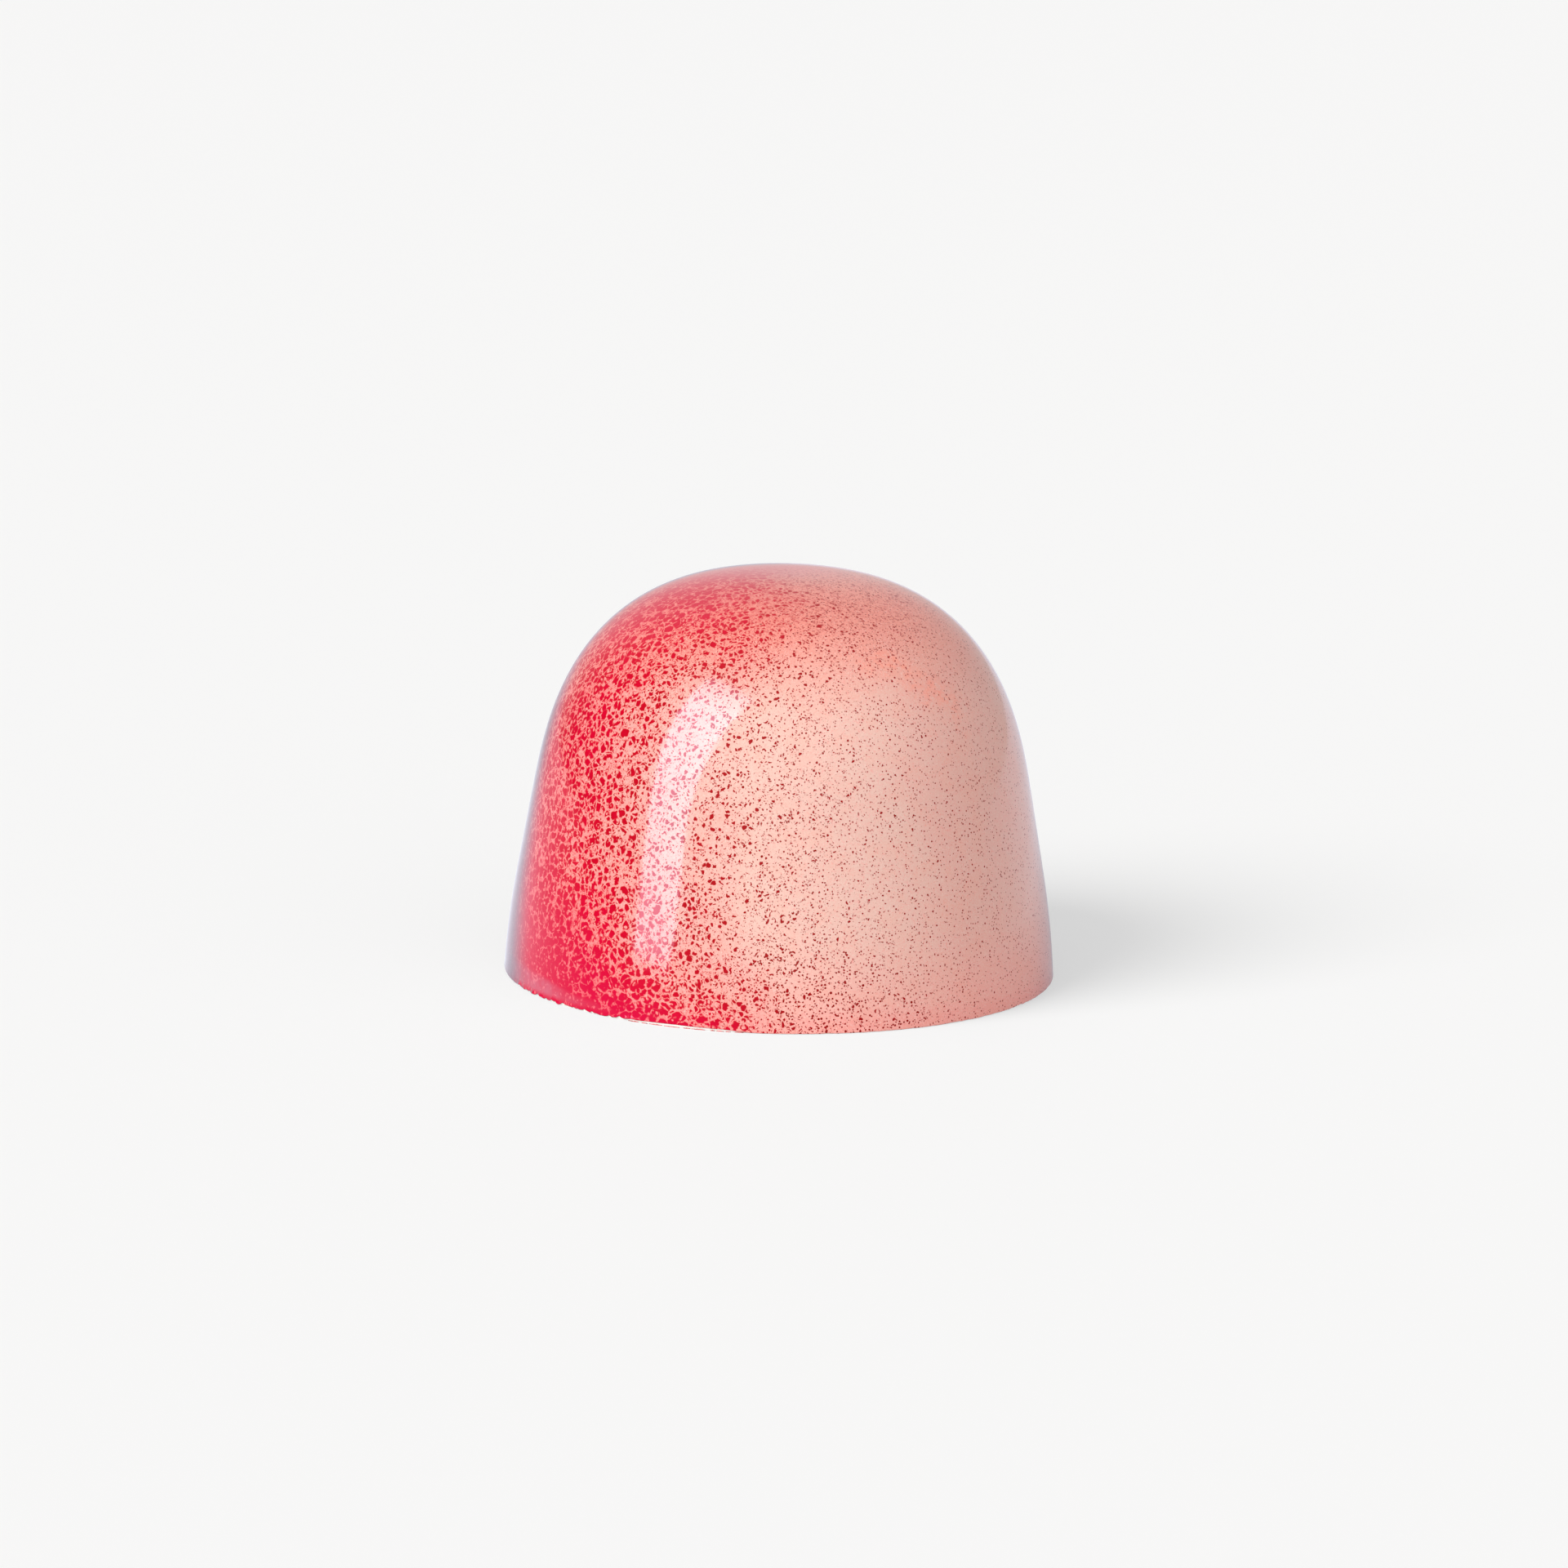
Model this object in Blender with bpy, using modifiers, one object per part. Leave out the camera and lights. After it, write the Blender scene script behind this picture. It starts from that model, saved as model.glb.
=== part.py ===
"""A moulded chocolate bonbon: one solid dome with drafted sides, a softly rounded
crown and a flat foot whose edge is nicked where the mould was scraped level.

Units are metres, +Z is up and the origin is the middle of the flat foot.
"""

import math
import random

import bmesh
import bpy

# Driving dimensions of the dome.
FOOT_RADIUS = 0.0145
HEIGHT = 0.0213
DRAFT = math.radians(10.0)  # lean of the side, which lets it out of the mould

# Near the foot the side stands steeper: it is drawn in from the lean by FOOT_TUCK at the
# very bottom, and by less and less up to TUCK_HEIGHT.
FOOT_TUCK = 0.00031
TUCK_HEIGHT = 0.25 * HEIGHT

# Above the shoulder the wall rounds over as (1 - s**SHOULDER_POWER) ** (1 / CROWN_POWER),
# where s runs from 0 at the shoulder to 1 at the apex.
SHOULDER_HEIGHT = 0.45 * HEIGHT
SHOULDER_POWER = 2.83
CROWN_POWER = 2.69

# Fineness of the turned surface.
TURN_STEPS = 96
SIDE_STEPS = 8
CROWN_STEPS = 22
CROWN_CROWDING = 2.2  # draws the rings together towards the apex

# The foot: a slightly softened edge, with nicks left by the scraper.
EDGE_RADIUS = 0.00026
EDGE_STEPS = 3
NICK_SEED = 7
NICK_STRETCHES = (  # (first bearing, last bearing, nicks), in degrees from +X towards +Y
    (196.0, 238.0, 15),
    (248.0, 262.0, 2),
    (276.0, 350.0, 4),
    (12.0, 168.0, 9),
)
NICK_LENGTH = (0.00045, 0.00110)
NICK_DEPTH = (0.00010, 0.00022)
NICK_HEIGHT = (0.00008, 0.00018)

SHELL_COLOUR = (0.84, 0.38, 0.32, 1.0)
SHELL_ROUGHNESS = 0.22


def clear_scene():
    for old in list(bpy.data.objects):
        bpy.data.objects.remove(old, do_unlink=True)


def new_collection(name, hidden=False):
    collection = bpy.data.collections.new(name)
    collection.hide_render = hidden
    bpy.context.scene.collection.children.link(collection)
    return collection


def cocoa_butter(name, colour, roughness):
    """The glossy coloured cocoa butter on the outside of the dome."""
    material = bpy.data.materials.new(name)
    material.use_nodes = True
    shader = material.node_tree.nodes["Principled BSDF"]
    shader.inputs["Base Color"].default_value = colour
    shader.inputs["Roughness"].default_value = roughness
    shader.inputs["Metallic"].default_value = 0.0
    return material


def wall_radius(z):
    """Radius of the dome's wall at height z."""
    tuck = FOOT_TUCK * max(0.0, 1.0 - z / TUCK_HEIGHT) ** 2
    drafted = FOOT_RADIUS + FOOT_TUCK - z * math.tan(DRAFT)
    s = max(0.0, (z - SHOULDER_HEIGHT) / (HEIGHT - SHOULDER_HEIGHT))
    return drafted * (1.0 - min(s, 1.0) ** SHOULDER_POWER) ** (1.0 / CROWN_POWER) - tuck


def dome_outline():
    """Points (r, z) from the apex, down the wall and round the edge to the middle of the foot."""
    outline = []
    for i in range(CROWN_STEPS + 1):
        s = 1.0 - (i / CROWN_STEPS) ** CROWN_CROWDING
        z = SHOULDER_HEIGHT + (HEIGHT - SHOULDER_HEIGHT) * s
        outline.append((wall_radius(z), z))
    for i in range(1, SIDE_STEPS + 1):
        z = SHOULDER_HEIGHT + (EDGE_RADIUS - SHOULDER_HEIGHT) * i / SIDE_STEPS
        outline.append((wall_radius(z), z))
    centre = wall_radius(EDGE_RADIUS) - EDGE_RADIUS
    for i in range(1, EDGE_STEPS + 1):
        angle = 0.5 * math.pi * i / EDGE_STEPS
        outline.append(
            (centre + EDGE_RADIUS * math.cos(angle), EDGE_RADIUS - EDGE_RADIUS * math.sin(angle))
        )
    outline.append((0.0, 0.0))
    return outline


def turned(name, outline, steps, collection):
    """An object turned from an outline about Z."""
    mesh = bpy.data.meshes.new(name)
    shape = bmesh.new()
    points = [shape.verts.new((r, 0.0, z)) for r, z in outline]
    for upper, lower in zip(points, points[1:]):
        shape.edges.new((upper, lower))
    shape.to_mesh(mesh)
    shape.free()
    body = bpy.data.objects.new(name, mesh)
    collection.objects.link(body)
    turn = body.modifiers.new("Turn", "SCREW")
    turn.axis = "Z"
    turn.angle = 2.0 * math.pi
    turn.steps = steps
    turn.render_steps = steps
    turn.use_merge_vertices = True
    turn.merge_threshold = 0.00001
    turn.use_smooth_shade = True
    return body


def foot_nick(bearing, length, depth, height, tilt, collection):
    """A shallow chip taken out of the foot's edge at this bearing: a flattened ball laid along the edge."""
    bpy.ops.mesh.primitive_ico_sphere_add(
        subdivisions=1,
        radius=1.0,
        location=(FOOT_RADIUS * math.cos(bearing), FOOT_RADIUS * math.sin(bearing), 0.0),
        rotation=(0.0, 0.0, bearing + tilt),
        scale=(depth, 0.5 * length, height),
    )
    nick = bpy.context.active_object
    nick.name = "nick_cutter"
    for holder in list(nick.users_collection):
        holder.objects.unlink(nick)
    collection.objects.link(nick)
    nick.hide_render = True
    nick.display_type = "WIRE"
    return nick


def add_foot_nicks(cutters):
    draw = random.Random(NICK_SEED)
    for first, last, count in NICK_STRETCHES:
        for i in range(count):
            share = (i + draw.uniform(0.2, 0.8)) / count
            foot_nick(
                math.radians(first + (last - first) * share),
                draw.uniform(*NICK_LENGTH),
                draw.uniform(*NICK_DEPTH),
                draw.uniform(*NICK_HEIGHT),
                math.radians(draw.uniform(-14.0, 14.0)),
                cutters,
            )


def cut_by(body, cutters):
    cut = body.modifiers.new("Foot nicks", "BOOLEAN")
    cut.operation = "DIFFERENCE"
    cut.solver = "EXACT"
    cut.operand_type = "COLLECTION"
    cut.collection = cutters


def build():
    clear_scene()
    parts = new_collection("chocolate_bonbon")
    cutters = new_collection("cutters", hidden=True)
    bonbon = turned("bonbon", dome_outline(), TURN_STEPS, parts)
    bonbon.data.materials.append(
        cocoa_butter("coloured_cocoa_butter", SHELL_COLOUR, SHELL_ROUGHNESS)
    )
    add_foot_nicks(cutters)
    cut_by(bonbon, cutters)


build()
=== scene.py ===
"""The looks of a moulded chocolate bonbon: a glossy peach dome of coloured cocoa butter with a
red splatter that thickens to solid red on one side, standing on its closing layer of ivory
chocolate. Units are metres, +Z is up and -Y faces the viewer."""

import math
import random

import bmesh
import bpy
from mathutils import Matrix, Vector, noise


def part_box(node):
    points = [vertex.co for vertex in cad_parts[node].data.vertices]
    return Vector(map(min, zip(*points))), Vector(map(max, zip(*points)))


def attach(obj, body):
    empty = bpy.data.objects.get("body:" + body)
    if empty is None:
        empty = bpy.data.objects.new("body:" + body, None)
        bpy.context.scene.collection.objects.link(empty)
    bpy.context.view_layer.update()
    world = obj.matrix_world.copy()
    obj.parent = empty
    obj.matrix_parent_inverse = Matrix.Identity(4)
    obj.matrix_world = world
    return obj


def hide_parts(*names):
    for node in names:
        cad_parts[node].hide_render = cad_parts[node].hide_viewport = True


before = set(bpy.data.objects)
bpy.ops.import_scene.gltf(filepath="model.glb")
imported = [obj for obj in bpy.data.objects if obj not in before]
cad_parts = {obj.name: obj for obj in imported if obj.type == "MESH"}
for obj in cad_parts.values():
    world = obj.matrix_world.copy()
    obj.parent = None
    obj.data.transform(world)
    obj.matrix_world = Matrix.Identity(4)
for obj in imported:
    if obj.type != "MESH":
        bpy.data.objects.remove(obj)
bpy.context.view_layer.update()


# ---------------------------------------------------------------------------------------------
# The painted dome. A shell of chocolate cast in a polished mould that was sprayed first with red
# and then with peach cocoa butter, so the drops lie flush in a surface as glossy as the mould.
# Its lower edge was scraped level and is ragged where the red skin is thickest.
# ---------------------------------------------------------------------------------------------

MM = 0.001

dome_low, dome_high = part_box("bonbon")
DOME_HEIGHT = dome_high.z - dome_low.z
DOME_RADIUS = 0.5 * (dome_high.x - dome_low.x) + 0.016 * MM  # before the edge's rounding

# The wall: a drafted cone, steeper near the foot, that rounds over above the shoulder.
DRAFT = math.radians(10.0)
FOOT_TUCK = 0.31 * MM
TUCK_HEIGHT = 0.25 * DOME_HEIGHT
SHOULDER_HEIGHT = 0.45 * DOME_HEIGHT
SHOULDER_POWER = 2.83
CROWN_POWER = 2.69

# The paint's lower edge: (first bearing, last bearing, share) in degrees from +X towards +Y.
RAGGED_STRETCHES = ((200.0, 240.0, 1.0), (276.0, 350.0, 0.25), (14.0, 168.0, 0.45))
BARE_STRETCHES = ((236.0, 262.0, 1.0), (60.0, 84.0, 0.6))
TOOTH_HEIGHT = 0.08 * MM
CHIP_HEIGHT = 0.05 * MM
BARE_HEIGHT = 0.11 * MM
EDGE_HEIGHT = 0.012 * MM
EDGE_ROUNDING = 0.05 * MM
SKIN_CURL = 0.06 * MM  # how far the loose skin stands out at the teeth
CURL_FADE = 0.12 * MM
LIP = 0.30 * MM  # how far the edge turns in under the dome, and how high it sits there
TEETH_A_TURN = 150.0
CHIPS_A_TURN = 430.0
CRUMBS_A_TURN = 900.0
BARE_WAVES_A_TURN = 60.0
CURLS_A_TURN = 210.0

FOOT_COLUMNS = 1440
WALL_COLUMNS = 360
RAGGED_TOP = 0.6 * MM  # above this height the wall is as smooth as the mould
RAGGED_RINGS = (0.12, 0.28, 0.5, 0.75, 1.0)  # shares of the way up to it
HALVED_AT = 0.9 * MM  # this ring has half the foot's columns
WALL_FROM = 1.3 * MM
WALL_RINGS = 14
CROWN_RINGS = 56
CROWN_CROWDING = 1.9
POLE_SHARE = 0.97  # of the crown's height; above it the rings have half the columns


def wall_radius(z):
    """Radius of the dome's wall at height z."""
    tuck = FOOT_TUCK * max(0.0, 1.0 - z / TUCK_HEIGHT) ** 2
    drafted = DOME_RADIUS + FOOT_TUCK - z * math.tan(DRAFT)
    s = max(0.0, (z - SHOULDER_HEIGHT) / (DOME_HEIGHT - SHOULDER_HEIGHT))
    return drafted * (1.0 - min(s, 1.0) ** SHOULDER_POWER) ** (1.0 / CROWN_POWER) - tuck


def smooth_step(low, high, value):
    t = min(1.0, max(0.0, (value - low) / (high - low)))
    return t * t * (3.0 - 2.0 * t)


def within(stretches, degrees, fade=4.0):
    """How far this bearing lies in the stretches, from 0 to each stretch's share."""
    reach = 0.0
    for first, last, share in stretches:
        rise = smooth_step(first - fade, first + fade, degrees)
        fall = 1.0 - smooth_step(last - fade, last + fade, degrees)
        reach = max(reach, share * rise * fall)
    return reach


def edge_noise(bearing, per_turn, layer):
    """Noise from -1 to 1 along the foot, without a seam."""
    ring = per_turn / (2.0 * math.pi)
    return noise.noise((ring * math.cos(bearing), ring * math.sin(bearing), 7.3 * layer))


def paint_edge(bearing):
    """(height, outward curl) of the paint's lower edge at this bearing."""
    degrees = math.degrees(bearing) % 360.0
    ragged = within(RAGGED_STRETCHES, degrees)
    teeth = max(0.0, edge_noise(bearing, TEETH_A_TURN, 1) + 0.08) * 1.7
    chips = max(0.0, edge_noise(bearing, CHIPS_A_TURN, 2)) * 1.8
    crumbs = abs(edge_noise(bearing, CRUMBS_A_TURN, 3))
    height = EDGE_HEIGHT * (1.0 + crumbs)
    height += ragged * (TOOTH_HEIGHT * teeth + CHIP_HEIGHT * chips)
    waves = 1.0 + 0.5 * edge_noise(bearing, BARE_WAVES_A_TURN, 4)
    height += within(BARE_STRETCHES, degrees) * BARE_HEIGHT * waves
    curl = ragged * SKIN_CURL * max(0.0, edge_noise(bearing, CURLS_A_TURN, 5) + 0.1) * 2.0
    return height, curl


def bearings(count):
    return [2.0 * math.pi * i / count for i in range(count)]


def ring_of(shape, count, place):
    """A ring of vertices, each at place(bearing) = (radius, height)."""
    ring = []
    for bearing in bearings(count):
        radius, height = place(bearing)
        ring.append(shape.verts.new((radius * math.cos(bearing), radius * math.sin(bearing), height)))
    return ring


def bridge(shape, lower, upper):
    """Faces between two rings, the upper with as many vertices as the lower, half or twice as many."""
    few, many = sorted((lower, upper), key=len)
    flip = len(lower) < len(upper)
    count = len(few)
    for i in range(count):
        j = (i + 1) % count
        if len(few) == len(many):
            faces = [(lower[i], lower[j], upper[j], upper[i])]
        else:
            a, b, c = many[2 * i], many[2 * i + 1], many[(2 * i + 2) % len(many)]
            faces = [(a, b, few[i]), (b, c, few[j]), (b, few[j], few[i])]
            if flip:
                faces = [tuple(reversed(face)) for face in faces]
        for face in faces:
            shape.faces.new(face)


def cap(shape, ring, height, upwards):
    """Closes a ring with a fan to a middle vertex on the axis."""
    middle = shape.verts.new((0.0, 0.0, height))
    for i, corner in enumerate(ring):
        following = ring[(i + 1) % len(ring)]
        shape.faces.new((corner, following, middle) if upwards else (following, corner, middle))


def finished(name, shape, solid=True):
    """An object made from the bmesh, linked to the scene. A solid one is shaded smooth."""
    mesh = bpy.data.meshes.new(name)
    if solid:
        bmesh.ops.recalc_face_normals(shape, faces=shape.faces[:])
    shape.to_mesh(mesh)
    shape.free()
    if solid:
        mesh.shade_smooth()
    made = bpy.data.objects.new(name, mesh)
    bpy.context.scene.collection.objects.link(made)
    return made


def dome_mesh():
    """The painted dome: its ragged edge turned in at the foot, the drafted wall and the crown."""
    shape = bmesh.new()
    edge = {bearing: paint_edge(bearing) for bearing in bearings(FOOT_COLUMNS)}

    def at_edge(inset, rise):
        def place(bearing):
            height, curl = edge[bearing]
            z = height + rise
            fade = math.exp(-rise / CURL_FADE)
            return wall_radius(z) - inset + curl * fade, z
        return place

    def between(share):
        def place(bearing):
            height, curl = edge[bearing]
            low = height + EDGE_ROUNDING
            z = low + (RAGGED_TOP - low) * share
            return wall_radius(z) + curl * math.exp(-(z - height) / CURL_FADE), z
        return place

    rings = [
        ring_of(shape, WALL_COLUMNS, lambda bearing: (DOME_RADIUS - 2.0 * LIP, LIP)),
        ring_of(shape, FOOT_COLUMNS // 2, lambda bearing: (DOME_RADIUS - LIP, LIP)),
        ring_of(shape, FOOT_COLUMNS, at_edge(0.7 * EDGE_ROUNDING, 0.0)),
        ring_of(shape, FOOT_COLUMNS, at_edge(0.2 * EDGE_ROUNDING, 0.35 * EDGE_ROUNDING)),
        ring_of(shape, FOOT_COLUMNS, at_edge(0.0, EDGE_ROUNDING)),
    ]
    for share in RAGGED_RINGS:
        rings.append(ring_of(shape, FOOT_COLUMNS, between(share)))
    halved = (wall_radius(HALVED_AT), HALVED_AT)
    rings.append(ring_of(shape, FOOT_COLUMNS // 2, lambda bearing: halved))
    for i in range(WALL_RINGS):
        z = WALL_FROM + (SHOULDER_HEIGHT - WALL_FROM) * i / WALL_RINGS
        rings.append(ring_of(shape, WALL_COLUMNS, lambda bearing, z=z: (wall_radius(z), z)))
    for i in range(CROWN_RINGS):
        s = 1.0 - (1.0 - i / CROWN_RINGS) ** CROWN_CROWDING
        z = SHOULDER_HEIGHT + (DOME_HEIGHT - SHOULDER_HEIGHT) * s
        count = WALL_COLUMNS if s < POLE_SHARE else WALL_COLUMNS // 2
        rings.append(ring_of(shape, count, lambda bearing, z=z: (wall_radius(z), z)))
    for lower, upper in zip(rings, rings[1:]):
        bridge(shape, lower, upper)
    cap(shape, rings[0], LIP, upwards=False)
    cap(shape, rings[-1], DOME_HEIGHT, upwards=True)
    return finished("painted_dome", shape)


# How the finishes are put together: each source is a socket or a plain value.


def feed(tree, target, source):
    """Links a socket to the target, or sets the target to a value."""
    if isinstance(source, bpy.types.NodeSocket):
        tree.links.new(source, target)
    else:
        target.default_value = source


def reckon(tree, operation, *terms, clamp=False):
    """The result of a Math node over these terms."""
    made = tree.nodes.new("ShaderNodeMath")
    made.operation = operation
    made.use_clamp = clamp
    for socket, term in zip(made.inputs, terms):
        feed(tree, socket, term)
    return made.outputs[0]


def reckon_vector(tree, operation, *terms, result="Vector"):
    """The result of a Vector Math node over these terms."""
    made = tree.nodes.new("ShaderNodeVectorMath")
    made.operation = operation
    for socket, term in zip(made.inputs, terms):
        feed(tree, socket, term)
    return made.outputs[result]


def new_finish(name):
    """A material, its node tree and its shader."""
    material = bpy.data.materials.new(name)
    material.use_nodes = True
    return material, material.node_tree, material.node_tree.nodes["Principled BSDF"]


def remap(tree, value, low, high, to_low=0.0, to_high=1.0, curve="SMOOTHSTEP"):
    """The value carried over from low..high to to_low..to_high, and held there beyond."""
    made = tree.nodes.new("ShaderNodeMapRange")
    made.interpolation_type = curve
    for name, term in (
        ("Value", value), ("From Min", low), ("From Max", high), ("To Min", to_low), ("To Max", to_high)
    ):
        feed(tree, made.inputs[name], term)
    return made.outputs["Result"]


def blend(tree, share, first, second):
    """A colour mixed from two."""
    made = tree.nodes.new("ShaderNodeMix")
    made.data_type = "RGBA"
    feed(tree, made.inputs[0], share)
    feed(tree, made.inputs[6], first)
    feed(tree, made.inputs[7], second)
    return made.outputs[2]


def cloud(tree, place, scale, detail, roughness, result="Fac"):
    """Soft noise at this many cells a millimetre."""
    made = tree.nodes.new("ShaderNodeTexNoise")
    feed(tree, made.inputs["Vector"], place)
    made.inputs["Scale"].default_value = scale
    made.inputs["Detail"].default_value = detail
    made.inputs["Roughness"].default_value = roughness
    return made.outputs[result]


def cells(tree, place, scale, feature="F1"):
    """Outputs of a cell texture at this many cells a millimetre; its distances are in cells."""
    made = tree.nodes.new("ShaderNodeTexVoronoi")
    made.feature = feature
    feed(tree, made.inputs["Vector"], place)
    feed(tree, made.inputs["Scale"], scale)
    return made.outputs


def emboss(tree, shader, height, strength, distance):
    """Gives the surface a fine relief."""
    bump = tree.nodes.new("ShaderNodeBump")
    bump.inputs["Strength"].default_value = strength
    bump.inputs["Distance"].default_value = distance
    feed(tree, bump.inputs["Height"], height)
    feed(tree, shader.inputs["Normal"], bump.outputs[0])


def new_group(name, inputs, outputs):
    """A shader node group, and the sockets that its inside reads and writes. The inputs are given
    by name and starting value; the outputs are masks and other single values."""
    group = bpy.data.node_groups.new(name, "ShaderNodeTree")
    for socket, value in inputs.items():
        kind = "NodeSocketVector" if isinstance(value, tuple) else "NodeSocketFloat"
        made = group.interface.new_socket(name=socket, in_out="INPUT", socket_type=kind)
        made.default_value = value
    for socket in outputs:
        group.interface.new_socket(name=socket, in_out="OUTPUT", socket_type="NodeSocketFloat")
    given = group.nodes.new("NodeGroupInput").outputs
    out = group.nodes.new("NodeGroupOutput").inputs
    return group, given, out


def use_group(tree, group, **values):
    """Places a group in a tree. Its inputs are given by name, with _ for a space."""
    made = tree.nodes.new("ShaderNodeGroup")
    made.node_tree = group
    for name, value in values.items():
        feed(tree, made.inputs[name.replace("_", " ")], value)
    return made.outputs


def millimetres(tree):
    """The place on the object, in millimetres."""
    where = tree.nodes.new("ShaderNodeTexCoord").outputs["Object"]
    return reckon_vector(tree, "MULTIPLY", where, (1000.0, 1000.0, 1000.0))


# Where the red lies. Each range gives what is read from and to, then the result at each end.
AXIS_SOFTENING = 0.12  # of the dome's radius, so that nothing jumps at the axis
POOL_DEPTH = 0.21  # of the dome's radius
POOL_KEENNESS = (1.3, 0.34)  # gain towards the spray, and what is left away from it
FRINGE_RISE = (0.02, 0.26)
FRINGE_FALL = (0.32, 0.55, 1.0, 0.0)
FRINGE_GAIN = 0.07
CORE_BY_FACING = (0.60, 0.90, 0.0, 0.07)
CROWN_BY_HEIGHT = (0.74, 1.0)
CROWN_EVENING = 0.30
PUFF_BY_DISTANCE = (0.16, 0.62, 0.85, 0.0)
PATCHES = (0.35, 3.0, 0.6)  # patches a mm, detail, roughness
PATCH_GAIN = 0.35
NO_LOAD_FACING = -0.45  # where the load reaches 0
FULL_LOAD_SPAN = 1.4  # from there to a load of 1
COARSE_LOSS_ON_CROWN = 0.17
COARSE_LOSS_IN_POOL = 0.14
MIST_BY_LOAD = (0.58, 1.0)
MIST_BY_HEIGHT = (0.01, 0.07, 0.40, 0.0)
MIST_WHERE_CLEAN = (0.02, 0.22, 0.15, 0.0)
SPRAY_BUILD_UP = (0.03, 0.38, 0.20, 1.0)
SPRAY_LOST_IN_RED = (0.60, 0.95, 1.0, 0.0)
SPRAY_BY_HEIGHT = (0.14, 0.42, 1.0, 0.0)
FILM_BY_HEIGHT = (0.0, 0.27, 0.50, 0.0)
BLUSH_BY_HEIGHT = (0.70, 0.98, 0.0, 0.85)
WETNESS_BY_LOAD = (0.65, 1.15, 0.02, 0.09)
BLOWN_BY_HEIGHT = (0.82, 0.98, 0.0, 0.10)


def make_paint_load():
    """How heavily the red was sprayed: 0 is clean, 1 nearly solid. The gun pointed at one side of
    the mould, and the spray pooled where that side meets the mould's top face, which is the foot."""
    group, given, out = new_group(
        "Paint Load",
        {
            "Place": (0.0, 0.0, 0.0),
            "Spray From": (-1.0, 0.0, 0.0),
            "Dome Radius": 14.5,
            "Dome Height": 21.3,
            "Foot Pooling": 0.60,
            "Crown Facing": 0.61,
            "Puff Middle": (-2.0, 5.0, 21.0),
        },
        (
            "Load", "Coarse Load", "Mist", "Foot Spray", "Foot Film", "Crown Blush", "Haze",
            "Softness",
        ),
    )
    apart = group.nodes.new("ShaderNodeSeparateXYZ")
    feed(group, apart.inputs[0], given["Place"])
    flat = group.nodes.new("ShaderNodeCombineXYZ")
    feed(group, flat.inputs[0], apart.outputs["X"])
    feed(group, flat.inputs[1], apart.outputs["Y"])
    radius = reckon_vector(group, "LENGTH", flat.outputs[0], result="Value")
    along = reckon_vector(group, "DOT_PRODUCT", flat.outputs[0], given["Spray From"], result="Value")
    softened = reckon(group, "MULTIPLY_ADD", given["Dome Radius"], AXIS_SOFTENING, radius)
    facing = reckon(group, "DIVIDE", along, softened)
    pool_depth = reckon(group, "MULTIPLY", given["Dome Radius"], -POOL_DEPTH)
    pool = reckon(group, "EXPONENT", reckon(group, "DIVIDE", apart.outputs["Z"], pool_depth))
    pool = reckon(group, "MULTIPLY", pool, given["Foot Pooling"])
    # The red is a little heavier in the core of the spray and in the fringe where it thins out.
    fringe = remap(group, facing, *FRINGE_RISE)
    fringe = reckon(group, "MULTIPLY", fringe, remap(group, facing, *FRINGE_FALL))
    core = remap(group, facing, *CORE_BY_FACING)
    facing = reckon(group, "ADD", facing, reckon(group, "MULTIPLY_ADD", fringe, FRINGE_GAIN, core))
    keen = reckon(group, "MAXIMUM", facing, 0.0)
    keen = reckon(group, "MULTIPLY_ADD", keen, *POOL_KEENNESS)
    facing = reckon(group, "MULTIPLY_ADD", pool, keen, facing)
    # The crown lay across the spray, so the red is more even there.
    height = reckon(group, "DIVIDE", apart.outputs["Z"], given["Dome Height"])
    crown = remap(group, height, *CROWN_BY_HEIGHT)
    evened = reckon(group, "MULTIPLY_ADD", facing, -CROWN_EVENING, given["Crown Facing"])
    facing = reckon(group, "MULTIPLY_ADD", crown, evened, facing)
    # A puff of overspray lies over the back of the crown.
    off = reckon_vector(group, "DISTANCE", given["Place"], given["Puff Middle"], result="Value")
    off = reckon(group, "DIVIDE", off, given["Dome Radius"])
    feed(group, out["Haze"], remap(group, off, *PUFF_BY_DISTANCE))
    patchy = reckon(group, "SUBTRACT", cloud(group, given["Place"], *PATCHES), 0.5)
    facing = reckon(group, "MULTIPLY_ADD", patchy, PATCH_GAIN, facing)
    load = reckon(group, "SUBTRACT", facing, NO_LOAD_FACING)
    load = reckon(group, "DIVIDE", load, FULL_LOAD_SPAN)
    load = reckon(group, "MAXIMUM", load, 0.0)
    feed(group, out["Load"], load)
    coarse = reckon(group, "MULTIPLY_ADD", crown, -COARSE_LOSS_ON_CROWN, load)
    coarse = reckon(group, "MULTIPLY_ADD", pool, -COARSE_LOSS_IN_POOL, coarse)
    feed(group, out["Coarse Load"], coarse)
    mist = remap(group, load, *MIST_BY_LOAD, curve="LINEAR")
    mist = reckon(group, "MAXIMUM", mist, remap(group, load, *MIST_WHERE_CLEAN))
    mist = reckon(group, "MAXIMUM", mist, remap(group, height, *MIST_BY_HEIGHT))
    feed(group, out["Mist"], mist)
    spray = remap(group, load, *SPRAY_BUILD_UP)
    spray = reckon(group, "MULTIPLY", spray, remap(group, load, *SPRAY_LOST_IN_RED))
    spray = reckon(group, "MULTIPLY", spray, remap(group, height, *SPRAY_BY_HEIGHT))
    feed(group, out["Foot Spray"], spray)
    feed(group, out["Foot Film"], remap(group, height, *FILM_BY_HEIGHT))
    feed(group, out["Crown Blush"], remap(group, height, *BLUSH_BY_HEIGHT))
    wet = remap(group, load, *WETNESS_BY_LOAD, curve="LINEAR")
    blown = remap(group, height, *BLOWN_BY_HEIGHT)
    feed(group, out["Softness"], reckon(group, "MAXIMUM", wet, blown))
    return group


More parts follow.
